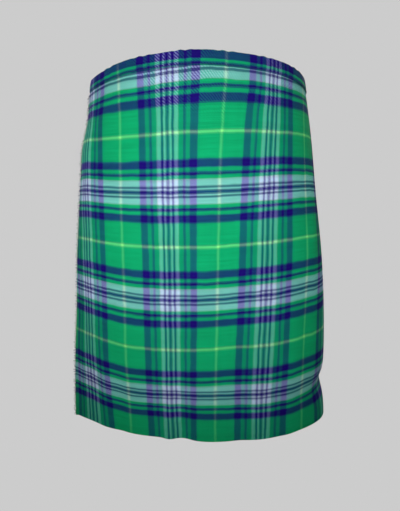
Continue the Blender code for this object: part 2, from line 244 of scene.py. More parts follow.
def relief(z, arcs, folds):
    total = np.zeros(len(arcs))
    for fold in folds:
        across = (arcs - fold.arc) / fold.arc_reach
        along = (z - fold.z) / fold.z_reach
        total += fold.out * np.exp(-across * across - along * along)
    return total


NORMAL_REACH = 0.003


def on_body(z, arcs, outs):
    """World points at one height, at arcs from the front centre and layers out."""
    level = ring(z)
    arcs = np.asarray(arcs, float)
    x, y = level.place(arcs)
    x0, y0 = level.place(arcs - NORMAL_REACH)
    x1, y1 = level.place(arcs + NORMAL_REACH)
    length = np.hypot(x1 - x0, y1 - y0)
    height = z + edge_shift(arcs / level.girth, z)
    around = (arcs + level.girth / 2) % level.girth - level.girth / 2
    outs = outs + relief(z, around, FORM_SWELLS)
    return np.stack([x + outs * (y1 - y0) / length, y - outs * (x1 - x0) / length, height], axis=-1)


print("folds placed by hand:", len(LARGE_FOLDS) + len(FORM_SWELLS) + len(SMALL_FOLDS))

# %% [markdown]
# The check, as a weaver charts it
#
# A check of this kind is woven from one list of coloured threads, used almost
# the same way down and across. The list runs from one turning point, the
# yellow line, to the other, the dark line in the middle of the white group,
# and then back again. That whole run is called a sett. Cloth coordinates are
# counted in setts, so one unit of the cloth's map is one repeat of the check.
# Here the warp is what runs down the kilt, and the weft what runs round it. A
# kilt maker turns the loom's cloth on its side, so there it is the other way.

# %% Thread count and the cloth's map
WEFT_COLOURS = "yellow green navy green navy green white navy white navy".split()
WARP_COLOURS = "yellow green navy deep navy deep white navy white navy".split()
WEFT_COUNT = (2, 34, 12, 5, 5, 5, 9, 3, 2, 3)
WARP_COUNT = (2, 33, 12, 5, 5, 7, 6, 4, 3, 3)
SETT_THREADS = 2 * sum(WARP_COUNT)
SETT_ACROSS = 0.1583
SETT_DOWN = 0.1675
FIRST_WHITE = -0.011
SETT_START = 0.2
# The hem was cut just above a yellow line, this many setts down
LAST_WEFT = 3.972

# Worn cloth is pulled a little askew. The tables say how far, in millimetres,
# the warp lines have moved towards the wearer's left, and how far the weft
# lines have risen, at heights and at arcs from the front centre. On the left
# both fade out between the fade's two arcs, past what the photograph shows.
DRIFT_FADE = (0.33, 0.29)
DRIFT_ARCS = (-0.200, -0.165, -0.125, -0.085, -0.050, -0.014, 0.020, 0.055, 0.090, 0.125, 0.160, 0.200)
DRIFT_HEIGHTS = (-0.600, -0.530, -0.450, -0.370, -0.290, -0.210, -0.130, -0.070, -0.030, 0.000)
WARP_DRIFT = (
    (8, 12.5, 10, 6, 5.5, 1, -3.5, -7, -5.5, -4.5, 0, 1.5),
    (7.5, 9.5, 7.5, 4, 3, 0.5, -4, -7.5, -6.5, -4, -1.5, -0.5),
    (4, 6, 4, 3, 2.5, 0.5, -3, -7.5, -6, -2, -1, -2),
    (3.5, 6.5, 5, 2.5, 2, 1.5, -2, -5.5, -4.5, -1.5, -0.5, -0.5),
    (3.5, 6, 4.5, 2.5, 2, 1, -1.5, -4.5, -4, -1.5, 1, 2),
    (2, 4.5, 3, 1, 1, 0.5, -0.5, -3.5, -3.5, -1.5, 0, -1.5),
    (-2, 1.5, 2.5, 0, 1, 1, 1, -0.5, -0.5, 0, -1, -4.5),
    (0, 1, 2.5, -0.5, 0.5, 2, 4.5, 3.5, 3.5, 2.5, 0, -4),
    (3, 4.5, 0, -2.5, 0, 3, 6.5, 8, 8.5, 4, 0.5, 0),
    (5, 5, -1, -3, 0, 3.5, 8, 9, 9, 5, 2, 1),
)
WEFT_RISE = (
    (5, 3, 0, 1.5, 3, 0.5, 1, 0.5, 0, -1, -3.5, -4),
    (2.5, -1, -5, -4.5, -3.5, -2, 0, -1, -2.5, -3, -2.5, -1.5),
    (0, -2, -6, -7, -6.5, -4.5, -1.5, 0.5, 0, 0, 2, 3),
    (0, -1.5, -4.5, -6.5, -6.5, -5, -3, -1, 0.5, 1.5, 3.5, 5),
    (2.5, 0, -3, -5, -5, -4.5, -3.5, -1, 1, 3, 5.5, 7),
    (0, -3, -5.5, -7, -7.5, -7, -6, -4, -1.5, 1, 3.5, 5.5),
    (2, -2.5, -5.5, -6, -5.5, -5, -4, -2, -0.5, 2, 4, 6),
    (0.5, -3.5, -6.5, -7, -6, -5, -3.5, -1.5, -0.5, 0, 2, 4.5),
    (1, -0.5, -1.5, -2.5, -1.5, -0.5, 2, 3, 3.5, 3.5, 4.5, 7),
    (6, 6, 5, 5, 5, 6, 7, 7, 7, 6.5, 7.5, 9.5),
)


def drift(moved, z, arcs):
    """Metres that the cloth's lines have moved, fading out round the back."""
    at_height = [float(smooth_read(DRIFT_HEIGHTS, column, z)) for column in zip(*moved)]
    return smooth_read(DRIFT_ARCS, at_height, arcs) * ease(arcs, *DRIFT_FADE) / 1000


def cloth_map(z, arcs):
    """Cloth coordinates, in setts across and down, of points at one height."""
    across = (arcs - drift(WARP_DRIFT, z, arcs)) / SETT_ACROSS - SETT_START
    down = (FIRST_WHITE - z + drift(WEFT_RISE, z, arcs)) / SETT_DOWN + 0.5
    return across, LAST_WEFT - np.abs(LAST_WEFT - down)


print("threads in a sett:", SETT_THREADS, "thread pitch in mm:", round(SETT_ACROSS / SETT_THREADS * 1000, 2))

# %% [markdown]
# Sheets of cloth
#
# Each panel starts as a flat grid, as a panel of cloth does. Its points are
# then placed by a function of height and arc, its map is written in setts, and
# a Solidify modifier gives the twill its thickness. That keeps the check true
# to the threads, which a stretched or projected picture would not do.

# %% Helpers for any mesh
def only(obj):
    bpy.ops.object.select_all(action="DESELECT")
    obj.select_set(True)
    bpy.context.view_layer.objects.active = obj


@contextmanager
def edit_mode(obj):
    only(obj)
    bpy.ops.object.mode_set(mode="EDIT")
    yield
    bpy.ops.object.mode_set(mode="OBJECT")


def deselect_parts(obj, kind="FACE"):
    """Nothing on the mesh stays selected, and this kind is what will be."""
    with edit_mode(obj):
        bpy.ops.mesh.select_mode(type=kind)
        bpy.ops.mesh.select_all(action="DESELECT")


def smooth(obj, degrees=50):
    only(obj)
    bpy.ops.object.shade_smooth_by_angle(angle=math.radians(degrees))


def apply_all(obj):
    only(obj)
    for modifier in list(obj.modifiers):
        bpy.ops.object.modifier_apply(modifier=modifier.name)


def write_map(mesh, values):
    """Give the mesh its map, from one pair of values for each of its points."""
    corners = np.empty(len(mesh.loops), int)
    mesh.loops.foreach_get("vertex_index", corners)
    layer = mesh.uv_layers[0] if mesh.uv_layers else mesh.uv_layers.new()
    layer.name = "cloth"
    layer.data.foreach_set("uv", values[corners].ravel())


# %% Helpers that make and finish a panel
ROOT = "root"
TWILL = 0.0011


def grid_piece(name, columns, rows):
    """A flat grid with this many columns and rows of points, and their numbers."""
    bpy.ops.object.select_all(action="DESELECT")
    bpy.ops.mesh.primitive_grid_add(x_subdivisions=columns - 1, y_subdivisions=rows - 1, size=1.0)
    piece = bpy.context.object
    piece.name = name
    piece.data.name = name
    flat = np.empty(len(piece.data.vertices) * 3)
    piece.data.vertices.foreach_get("co", flat)
    flat = flat.reshape(-1, 3)
    column = np.rint((flat[:, 0] + 0.5) * (columns - 1)).astype(int)
    row = np.rint((0.5 - flat[:, 1]) * (rows - 1)).astype(int)
    return piece, row, column


def panel(name, points, maps, wall=TWILL, offset=-1.0, gap=None):
    """Cloth from rows of points and their map. The gap's cells are cut out."""
    rows, columns = points.shape[:2]
    piece, row, column = grid_piece(name, columns, rows)
    piece.data.vertices.foreach_set("co", points[row, column].ravel())
    write_map(piece.data, maps[row, column])
    if gap is not None:
        remove_cells(piece, row, column, gap)
    thicken = piece.modifiers.new("wall", "SOLIDIFY")
    thicken.thickness = wall
    thicken.offset = offset
    apply_all(piece)
    smooth(piece)
    return piece


def remove_cells(piece, row, column, gap):
    """Cut out the cells between two rows and two columns."""
    deselect_parts(piece)
    for face in piece.data.polygons:
        top, left = row[list(face.vertices)].min(), column[list(face.vertices)].min()
        face.select = bool(gap[0] <= top < gap[1] and gap[2] <= left < gap[3])
    with edit_mode(piece):
        bpy.ops.mesh.delete(type="FACE")


def declare_cloth(piece, node):
    """Hang this panel on the root and hide the imported part that it stands for."""
    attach(piece, ROOT)
    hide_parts(node)


print("twill in mm:", 1000 * TWILL)

# %% [markdown]
# The over-apron
#
# This is the panel that the photograph shows. Its rows are about 3.5 mm apart,
# which is fine enough for soft folds. At the left hip it has a slit, bound by
# hand on a real kilt, that lets the strap of the under-apron out.

# %% Over-apron
SLIT_WIDTH = 0.0086
SLIT_HEIGHT = 0.0202
SLIT_BEFORE_SEAM = 0.010
APRON_STEPS = 160
SLIT_STEPS = 4


def slit_shares():
    girth = ring(0.0).girth
    middle = APRON_SEAM * girth - SLIT_BEFORE_SEAM
    return (middle - SLIT_WIDTH / 2) / girth, (middle + SLIT_WIDTH / 2) / girth


def runs(*stops):
    """Numbers that run through pairs of (place, steps to the next place)."""
    values = [stops[0][0]]
    for (start, steps), (end, _) in zip(stops, stops[1:]):
        values += list(np.linspace(start, end, steps + 1)[1:])
    return np.array(values)


HALF_SLIT = SLIT_HEIGHT / 2
APRON_ROWS = runs((WAIST_TOP, 1), (HALF_SLIT, SLIT_STEPS), (-HALF_SLIT, 165), (HEM, 0))
SLIT_START, SLIT_END = slit_shares()
APRON_SHARES = runs((APRON_EDGE, APRON_STEPS), (SLIT_START, SLIT_STEPS), (SLIT_END, 2), (APRON_SEAM, 0))


def panel_rows(heights, arcs_at, out_at, map_at=cloth_map):
    """Points and map of a panel: arcs and layers are functions of the height."""
    points, maps = [], []
    for z in heights:
        arcs = arcs_at(z)
        points.append(on_body(z, arcs, out_at(z, arcs)))
        maps.append(np.stack(map_at(z, arcs), axis=-1))
    return np.array(points), np.array(maps)


def apron_out(z, arcs):
    return relief(z, arcs, LARGE_FOLDS) + relief(z, arcs, SMALL_FOLDS)


over_points, over_map = panel_rows(APRON_ROWS, lambda z: APRON_SHARES * ring(z).girth, apron_out)
slit_cells = (1, 1 + SLIT_STEPS, APRON_STEPS, APRON_STEPS + SLIT_STEPS)
over_apron = panel("over_apron_twill", over_points, over_map, gap=slit_cells)
print("over-apron faces:", len(over_apron.data.polygons))

# %% [markdown]
# The under-apron
#
# The second apron lies behind the first, and shows only at the wearer's right
# hip, where the pleats end. It comes from under the last pleat and rises to
# the front of the layers. It follows the inward folds of the over-apron, so
# that the two never cut into each other.

# %% Under-apron
SEAM_GAP = 0.0003
WALL = 0.0014
PLEATS = 26
PLEAT_WALL = 0.0012
PLEAT_PITCH_WAIST = 0.0016
PLEAT_PITCH_HEM = 0.0019
RETURN_WAIST = 0.012
RETURN_HEM = 0.016
UNDER_OUT_WAIST = -0.0061
UNDER_OUT_HEM = -0.0024
UNDER_RISE_START = -0.145
UNDER_RISE_END = -0.320
UNDER_STEPS = 130


def pleat_sizes(z):
    """Reveal, hidden return and layer pitch of the pleats at a height."""
    down = share_down(z)
    reveal = (LAST_FOLD - APRON_SEAM) * ring(z).girth / PLEATS
    return reveal, mix(RETURN_WAIST, RETURN_HEM, down), mix(PLEAT_PITCH_WAIST, PLEAT_PITCH_HEM, down)


def under_start(z):
    return (LAST_FOLD - 1) * ring(z).girth - pleat_sizes(z)[1]


def under_arcs(z):
    return np.linspace(under_start(z), UNDER_END * ring(z).girth, UNDER_STEPS + 1)


def under_out(z, arcs):
    reveal, back, pitch = pleat_sizes(z)
    deep = -PLEAT_WALL / 2 - 2 * pitch * (back + reveal) / reveal + WALL / 2 - 2 * SEAM_GAP
    flat = mix(UNDER_OUT_WAIST, UNDER_OUT_HEM, ease(-z, -UNDER_RISE_START, -UNDER_RISE_END))
    level_arc = (UNDER_LEVEL - 1) * ring(z).girth
    layer = mix(deep, flat, ease(arcs, under_start(z) + back, level_arc))
    dents = np.minimum(relief(z, arcs, LARGE_FOLDS), 0.0)
    waves = relief(z, arcs, SMALL_FOLDS) * ease(arcs, level_arc, level_arc + 0.03)
    return layer + dents + np.minimum(waves, 0.0)


under_points, under_map = panel_rows(APRON_ROWS[::2], under_arcs, under_out)
under_apron = panel("under_apron_twill", under_points, under_map)
print("under-apron faces:", len(under_apron.data.polygons))

# %% [markdown]
# The knife pleats
#
# A knife pleat shows a narrow face and hides the rest behind it. The maker
# lets each face show the next piece of the sett, so the check seems to run on
# round the back. The face bulges a little, turns sharply at its pressed edge
# and runs back beneath itself. Down to the hip the edges are sewn down, and
# below that they hang free and wander.

# %% Pleated back
FELL_END = -0.190
PLEAT_TWILL = 0.0009
PLEAT_SWELL = 0.0009
PLEAT_SWAY = 0.0013
PLEAT_LIFT = 0.0011
# A pressed edge turns within this reach, a little inside its fold line, and
# each half of its turn takes up this much cloth
EDGE_REACH = 0.0007
EDGE_INSET = 0.0004
EDGE_CLOTH = 0.0008
FACE_STEPS = 7
PLEAT_ROWS = 96
MATCH_HEIGHT = -0.340


def below_fell(z):
    """0 where the pleats are sewn down, growing to 1 at the hem."""
    return ease(-z, -FELL_END, -HEM)


def pleat_sway(i, z):
    """Sideways wander of a fold edge below the fell."""
    wave = math.sin(2.4 * i + 5.0 * z) + 0.6 * math.sin(5.1 * i + 11.0 * z)
    return PLEAT_SWAY * below_fell(z) * wave


def pleat_lift(i, z):
    """How far a loose fold edge stands away from the next pleat."""
    return PLEAT_LIFT * below_fell(z) * (1.0 + math.sin(1.9 * i + 3.0 * z)) * 0.5


def fold_thread(i):
    """Place on the cloth of a fold edge, the same thread all the way down."""
    return APRON_SEAM * ring(MATCH_HEIGHT).girth + (i + 1) * pleat_sizes(MATCH_HEIGHT)[0]


def pleat_path(z):
    """Middle line of the pleated cloth as arcs, layers and places on the cloth."""
    reveal, back, pitch = pleat_sizes(z)
    top = -PLEAT_WALL / 2
    slope = 2 * pitch / reveal
    start = APRON_SEAM * ring(z).girth
    swell = PLEAT_SWELL * mix(0.4, 1.0, below_fell(z))
    low = top - slope * reveal
    inner = top - slope * (reveal + back)
    arcs, outs, cloth = [start + SEAM_GAP], [top], [fold_thread(0) - reveal]
    before = start
    for i in range(PLEATS):
        last = i == PLEATS - 1
        fold = start + (i + 1) * reveal + (0.0 if last else pleat_sway(i, z))
        thread = fold_thread(i)
        lift = pleat_lift(i, z)
        for k in range(1 if i == 0 else 0, FACE_STEPS):
            share = k / FACE_STEPS
            arcs.append(mix(before, fold, share))
            bulge = 1.25 * swell * math.sin(math.pi * share)
            outs.append(mix(top if i == 0 else low, top + lift, share) + bulge)
            cloth.append(thread - (fold - arcs[-1]))
        for angle in (60, 0, -60):
            turn = math.radians(angle)
            arcs.append(fold - EDGE_INSET + EDGE_REACH * math.cos(turn))
            outs.append(top + lift - pitch / 2 + pitch / 2 * math.sin(turn) / math.sin(math.radians(60)))
            cloth.append(thread + (60 - angle) / 60 * EDGE_CLOTH)
        for share in (0.5, 1.0):
            arcs.append(fold - back * share)
            outs.append(mix(top + lift - pitch, inner + pitch, share))
            cloth.append(thread + 2 * EDGE_CLOTH + back * share)
        if not last:
            arcs.append(fold - back)
            outs.append(inner)
            cloth.append(fold_thread(i + 1) - reveal - back)
        before = fold
    return np.array(arcs), np.array(outs), np.array(cloth)


back_points, back_map = panel_rows(
    np.linspace(WAIST_TOP, HEM, PLEAT_ROWS),
    lambda z: pleat_path(z)[0],
    lambda z, arcs: pleat_path(z)[1] + relief(z, arcs, LARGE_FOLDS),
    lambda z, arcs: cloth_map(z, pleat_path(z)[2]),
)
pleated_back = panel("pleated_back_twill", back_points, back_map, wall=PLEAT_TWILL, offset=0.0)
print("pleats:", PLEATS, "faces:", len(pleated_back.data.polygons))

# %% [markdown]
# The waistband
#
# A strip of the same cloth is sewn over the top edge. It was cut along a navy
# stripe, with its warp lines set to meet those below. It runs once round the
# outside, dives behind the over-apron at the right hip, and goes on across
# the under-apron. It is one strip, so it is one grid that spirals inwards.

# %% Waistband
BAND_DEPTH = 0.021
BAND_OUT = SEAM_GAP + WALL
INNER_BAND_OUT = -0.0044
BAND_ROLL = 0.0005
BAND_ROWS = 8
# Depths from the band's top, and the threads of the sett that lie there
BAND_DEPTHS = (0.0, 0.0128, 0.0152, 0.0210)
BAND_THREADS = (37.5, 48.0, 53.0, 58.0)
BAND_STEPS = 430


def band_out(z, arcs):
    share = arcs / ring(z).girth
    layer = mix(BAND_OUT, INNER_BAND_OUT, ease(share, BAND_DIVE_START, BAND_DIVE_END))
    rolled = BAND_ROLL * ((z - WAIST_TOP + BAND_DEPTH / 2) / (BAND_DEPTH / 2)) ** 2
    return layer - rolled


def band_map(z, arcs):
    across = cloth_map(z, arcs)[0]
    thread = np.interp(WAIST_TOP - z, BAND_DEPTHS, BAND_THREADS)
    return across, np.full(len(arcs), thread / SETT_THREADS)


BAND_BEFORE_SLIT = 130
BAND_SLIT_STEPS = 3
BAND_SHARES = runs(
    (APRON_EDGE, BAND_BEFORE_SLIT), (SLIT_START, BAND_SLIT_STEPS), (SLIT_END, BAND_STEPS), (1 + UNDER_END, 0)
)
BAND_HEIGHTS = runs((WAIST_TOP, 1), (HALF_SLIT, BAND_ROWS), (WAIST_TOP - BAND_DEPTH, 0))
band_points, band_uv = panel_rows(BAND_HEIGHTS, lambda z: BAND_SHARES * ring(z).girth, band_out, band_map)
band_cells = (1, 1 + BAND_ROWS, BAND_BEFORE_SLIT, BAND_BEFORE_SLIT + BAND_SLIT_STEPS)
waistband = panel("waistband_twill", band_points, band_uv, gap=band_cells)
print("waistband length:", round(float(np.ptp(BAND_SHARES)) * ring(0.0).girth, 3))

# %% [markdown]
# The frayed edge
#
# The free edge of the over-apron is left unhemmed, and its warp threads are
# drawn out, so the weft ends stand free as a short fringe. Every yarn keeps
# the colour of its place in the check, darkened by painted shade. Each one is
# a thin square tube, a little longer, shorter or more bent than the next, on a
# narrow woven strip.

# %% Where each yarn of the fringe runs
FRINGE_STRIP = 0.004
FRINGE_LENGTH = 0.013
FRINGE_TOP = WAIST_TOP - BAND_DEPTH - 0.002
YARNS = 420
YARN_STEPS = 6
YARN_RADIUS = 0.00055


def yarn_points(k):
    """Middle line of one yarn, from the strip outwards."""
    z = mix(FRINGE_TOP, HEM + 0.001, (k + 0.5) / YARNS)
    arc = APRON_EDGE * ring(z).girth
    droop = 0.0014 * math.sin(1.7 * k) + 0.0010 * math.sin(4.3 * k) - 0.0008
    lift = 0.0016 + 0.0020 * math.sin(2.9 * k)
    length = (FRINGE_LENGTH - FRINGE_STRIP) * (1.0 + 0.16 * math.sin(3.3 * k) + 0.08 * math.sin(7.7 * k))
    loose = np.linspace(0.0, 1.0, YARN_STEPS + 1)
    out = apron_out(z, np.array([arc]))[0] - TWILL / 2 + lift * loose + 0.0004 * np.sin(5 * loose + k)
    points = on_body(z, arc - FRINGE_STRIP * 0.6 - length * loose, out)
    points[:, 2] += droop * loose**2
    return z, points


YARN_LINES = [yarn_points(k) for k in range(YARNS)]
print("yarns:", len(YARN_LINES))


# %% Model one yarn, and bend copies of it along the lines
def cylinder(sides, radius, depth):
    bpy.ops.object.select_all(action="DESELECT")
    bpy.ops.mesh.primitive_cylinder_add(vertices=sides, radius=radius, depth=depth)
    return bpy.context.object


def model_yarn():
    """One square yarn, one unit long and two wide, cut into steps along its length."""
    yarn = cylinder(4, 1.0, 1.0)
    deselect_parts(yarn, "EDGE")
    for edge in yarn.data.edges:
        low, high = (yarn.data.vertices[corner].co.z for corner in edge.vertices)
        edge.select = abs(high - low) > 0.5
    with edit_mode(yarn):
        bpy.ops.mesh.subdivide(number_cuts=YARN_STEPS - 1)
    return yarn


def take_pattern(obj):
    """Points and faces of a modelled pattern, which is then put away."""
    shape = np.array([v.co for v in obj.data.vertices])
    cells = [list(face.vertices) for face in obj.data.polygons]
    bpy.data.objects.remove(obj, do_unlink=True)
    return shape, cells


def join_copies(name, copies, cells):
    """One piece from copies of a pattern's points, each with the same faces."""
    size = len(copies[0])
    faces = [[n * size + corner for corner in cell] for n in range(len(copies)) for cell in cells]
    mesh = bpy.data.meshes.new(name)
    mesh.from_pydata(np.concatenate(copies), [], faces)
    return add_object(name, mesh)


def lay_yarns(name, lines, radius):
    """Copies of the yarn, each bent along its own line, as one piece with a map."""
    shape, cells = take_pattern(model_yarn())
    step = np.rint((shape[:, 2] + 0.5) * YARN_STEPS).astype(int)
    size = (radius * (1.0 - 0.45 * (step / YARN_STEPS) ** 3))[:, None]
    copies, maps = [], []
    for z, line in lines:
        along = np.gradient(line, axis=0)
        along /= np.linalg.norm(along, axis=1)[:, None]
        side = np.cross(along, (0.0, 0.0, 1.0))
        side /= np.linalg.norm(side, axis=1)[:, None]
        up = np.cross(side, along)
        copies.append(line[step] + size * (shape[:, :1] * side[step] + shape[:, 1:2] * up[step]))
        weft = cloth_map(z, np.array([DRIFT_ARCS[0]]))[1][0]
        maps.append(np.stack([step / 8.0, np.full(len(shape), weft)], axis=-1))
    piece = join_copies(name, copies, cells)
    write_map(piece.data, np.concatenate(maps))
    with edit_mode(piece):
        bpy.ops.mesh.select_all(action="SELECT")
        bpy.ops.mesh.normals_make_consistent(inside=False)
    bpy.ops.object.shade_smooth()
    return piece


fringe_yarns = lay_yarns("fringe_yarns", YARN_LINES, YARN_RADIUS)
print("faces of the yarns:", len(fringe_yarns.data.polygons))

# %% The strip that holds the yarns
STRIP_SUNK = 0.0002


def strip_arcs(z):
    edge = APRON_EDGE * ring(z).girth
    return np.linspace(edge - FRINGE_STRIP, edge - SEAM_GAP, 3)


strip_heights = np.linspace(FRINGE_TOP, HEM, 120)
strip_points, strip_uv = panel_rows(strip_heights, strip_arcs, lambda z, arcs: apron_out(z, arcs) - STRIP_SUNK)
fringe_strip = panel("fringe_strip", strip_points, strip_uv)
print("faces of the strip:", len(fringe_strip.data.polygons))

# %% [markdown]
# Straps, chapes and buckles
#
# Each buckle is held by a chape, a leather tab folded round its hinge bar. The
# strap comes out from under the cloth, goes through the frame and back over
# the bar, and the prong holds it by a hole. The straps are grids again, bent
# along the hip, and the wire parts are curves with a round section.

# %% Strap places
STRAP_WIDTH = 0.019
STRAP_WALL = 0.0018
CHAPE_WIDTH = 0.0172
CHAPE_WALL = 0.0012
CHAPE_LENGTH = 0.034
CHAPE_LAP = 0.024
WIRE = 0.0026
PRONG_WIRE = 0.0022
FRAME_LENGTH = 0.024
FRAME_WIDTH = 0.023
FRAME_CORNER = 0.0025
PRONG_SLOT = 0.0034
TIP_REACH = 0.038
TIP_LENGTH = 0.010
STRAP_BEVEL = 0.00035
CHAPE_BEVEL = 0.00025
HIP_HEIGHT = -0.115
# The strap lies flat over the hinge bar this far each way, and reaches the
# cloth in front of it and the chape behind it at this distance
BAR_FLAT = 0.003
BAR_REACH = 0.016
# On the right the hinge bar lies this far back past the last pleat's fold
HEEL_PAST_FOLD = 0.005

# A set is one strap with its chape, buckle and prong. Distances run back along
# the body from its start: to the strap's root, to where it leaves the cloth
# and where it has settled on it, and to the heel, which is the hinge bar. The
# seat is the layer that it lies on, and the side is 1 at the wearer's left.
Set = namedtuple("Set", "name side z start_arc root leave settle heel seat")


def strap_sets():
    waist, hip = ring(0.0), ring(HIP_HEIGHT)
    edge_waist, edge_hip = -APRON_EDGE * waist.girth, -APRON_EDGE * hip.girth
    fold_waist = (1.0 - LAST_FOLD) * waist.girth - edge_waist
    fold_hip = (1.0 - LAST_FOLD) * hip.girth - edge_hip
    slit = APRON_SEAM * waist.girth - SLIT_BEFORE_SEAM
    return (
        Set("right_waist", -1, 0.0, edge_waist, -0.018, 0.020, 0.042, fold_waist + HEEL_PAST_FOLD, BAND_OUT),
        Set("right_hip", -1, HIP_HEIGHT, edge_hip, -0.018, 0.020, 0.042, fold_hip + HEEL_PAST_FOLD, 0.0),
        Set("left_waist", 1, 0.0, slit, -0.022, -0.0034, 0.0034, 0.052, BAND_OUT),
    )


def place(kit, distances, across, outs):
    """Points on a strap set: distances back along the body, one height across."""
    z = kit.z + across
    taper = ring(z).girth / ring(kit.z).girth
    return on_body(z, kit.side * (kit.start_arc + np.asarray(distances)) * taper, np.asarray(outs))


def strap_layer(kit, distance):
    """Middle of the strap: from under the cloth, through the frame, over the bar."""
    inside = -WALL - 2 * SEAM_GAP - STRAP_WALL / 2
    flat = kit.seat + 2 * SEAM_GAP + STRAP_WALL / 2
    on_chape = kit.seat + 3 * SEAM_GAP + 2 * CHAPE_WALL + STRAP_WALL / 2
    over_bar = on_chape + WIRE + SEAM_GAP
    out = mix(inside, flat, ease(distance, kit.leave, kit.settle))
    out = mix(out, over_bar, ease(distance, kit.heel - BAR_REACH, kit.heel - BAR_FLAT))
    return mix(out, on_chape, ease(distance, kit.heel + BAR_FLAT, kit.heel + BAR_REACH))


def leather(name, points, wall, gap, bevel):
    """A strip of leather from rows of points, with softened edges."""
    rows, columns = points.shape[:2]
    metres = np.zeros((rows, columns, 2))
    metres[:, 1:, 0] = np.cumsum(np.linalg.norm(np.diff(points, axis=1), axis=-1), axis=1)
    metres[1:, :, 1] = np.cumsum(np.linalg.norm(np.diff(points, axis=0), axis=-1), axis=0)
    piece = panel(name, points, metres, wall=wall, offset=0.0, gap=gap)
    soften = piece.modifiers.new("edge", "BEVEL")
    soften.width = bevel
    soften.segments = 2
    soften.limit_method = "ANGLE"
    soften.angle_limit = math.radians(50)
    apply_all(piece)
    smooth(piece, 40)
    return piece


print("buckled straps:", len(strap_sets()))


# %% Straps and chapes
def turned(kit, points):
    """Columns run towards the wearer's left, so the right side's are turned round."""
    return points if kit.side > 0 else points[:, ::-1]


def slot_cells(kit, row, first, after, last):
    """The prong's slot, in cells counted from the other end where turned round."""
    return (row, row + 1, first, after) if kit.side > 0 else (row, row + 1, last - after, last - first)


SLOT_EDGE = PRONG_SLOT / 2 / STRAP_WIDTH
STRAP_LINES = (0.5, 0.36, 0.22, SLOT_EDGE, -SLOT_EDGE, -0.22, -0.36, -0.5)


def make_strap(kit):
    end = kit.heel + TIP_REACH
    hole = (kit.heel - 0.0115, kit.heel + 0.0025)
    distances = runs((kit.root, 14), (hole[0], 12), (hole[1], 14), (end - TIP_LENGTH, 8), (end, 0))
    tip = np.maximum(distances - (end - TIP_LENGTH), 0.0) / TIP_LENGTH
    width = STRAP_WIDTH * np.sqrt(1.0 - 0.80 * tip**2.4)
    outs = strap_layer(kit, distances)
    rows = []
    for line in STRAP_LINES:
        rows.append([place(kit, [d], line * w, [o])[0] for d, w, o in zip(distances, width, outs)])
    slot = slot_cells(kit, 3, 14, 26, len(distances) - 1)
    return leather("strap_" + kit.name + "_leather", turned(kit, np.array(rows)), STRAP_WALL, slot, STRAP_BEVEL)


CHAPE_BENDS = 12


def chape_path(kit):
    """Leather tab folded round the hinge bar, as (distance, out) pairs."""
    low = kit.seat + SEAM_GAP + CHAPE_WALL / 2
    centre = kit.seat + 2 * SEAM_GAP + CHAPE_WALL + WIRE / 2
    radius = WIRE / 2 + SEAM_GAP + CHAPE_WALL / 2
    lap = low + CHAPE_WALL + SEAM_GAP
    path = [(kit.heel + reach, low) for reach in (CHAPE_LENGTH, 0.030, CHAPE_LAP, 0.019, 0.014, 0.009, 0.0035)]
    for k in range(CHAPE_BENDS + 1):
        angle = -math.pi / 2 - math.pi * k / CHAPE_BENDS
        path.append((kit.heel + radius * math.cos(angle), centre + radius * math.sin(angle)))
    path += [(kit.heel + 0.0035, centre + radius - 0.0003), (kit.heel + 0.009, (centre + radius + lap) / 2)]
    return path + [(kit.heel + reach, lap) for reach in (0.014, 0.019, CHAPE_LAP)]


def make_chape(kit):
    path = np.array(chape_path(kit))
    half, slot = CHAPE_WIDTH / 2, PRONG_SLOT / 2
    lines = (half, mix(half, slot, 0.5), slot, -slot, -mix(half, slot, 0.5), -half)
    rows = np.array([place(kit, path[:, 0], line, path[:, 1]) for line in lines])
    last = len(path) - 1
    slot_gap = slot_cells(kit, 2, 6, last - 4, last)
    return leather("chape_" + kit.name + "_leather", turned(kit, rows), CHAPE_WALL, slot_gap, CHAPE_BEVEL)


straps, chapes = {}, {}
for kit in strap_sets():
    straps[kit.name] = make_strap(kit)
    chapes[kit.name] = make_chape(kit)
print("leather pieces:", len(straps) + len(chapes))


# %% Buckle frames and prongs
def wire(name, points, thickness, closed):
    """Round wire along points, as a curve turned into a mesh."""
    curve = bpy.data.curves.new(name, "CURVE")
    curve.dimensions = "3D"
    curve.bevel_depth = thickness / 2
    curve.bevel_resolution = 4
    curve.use_fill_caps = not closed
    line = curve.splines.new("POLY")
    line.points.add(len(points) - 1)
    for spot, point in zip(line.points, points):
        spot.co = (*point, 1.0)
    line.use_cyclic_u = closed
    only(add_object(name, curve))
    bpy.ops.object.convert(target="MESH")
    smooth(bpy.context.object)
    return bpy.context.object


def frame_layer(kit, distance):
    """The frame leans from the hinge bar up to the bar that lies over the strap."""
    heel = kit.seat + 2 * SEAM_GAP + CHAPE_WALL + WIRE / 2
    front = kit.seat + 3 * SEAM_GAP + STRAP_WALL + WIRE / 2
    return mix(front, heel, (distance - kit.heel + FRAME_LENGTH) / FRAME_LENGTH)


def make_frame(kit):
    half = FRAME_WIDTH / 2
    front = kit.heel - FRAME_LENGTH
    corners = (
        (kit.heel - FRAME_CORNER, half - FRAME_CORNER, 0.0),
        (front + FRAME_CORNER, half - FRAME_CORNER, math.pi / 2),
        (front + FRAME_CORNER, FRAME_CORNER - half, math.pi),
        (kit.heel - FRAME_CORNER, FRAME_CORNER - half, 1.5 * math.pi),
    )
    points = []
    for distance, across, turn in corners:
        for k in range(8):
            angle = turn + math.pi / 2 * k / 7
            d = distance + FRAME_CORNER * math.cos(angle)
            a = across + FRAME_CORNER * math.sin(angle)
            points.append(place(kit, [d], a, [frame_layer(kit, d)])[0])
    return wire("buckle_" + kit.name + "_wire", points, WIRE, True)


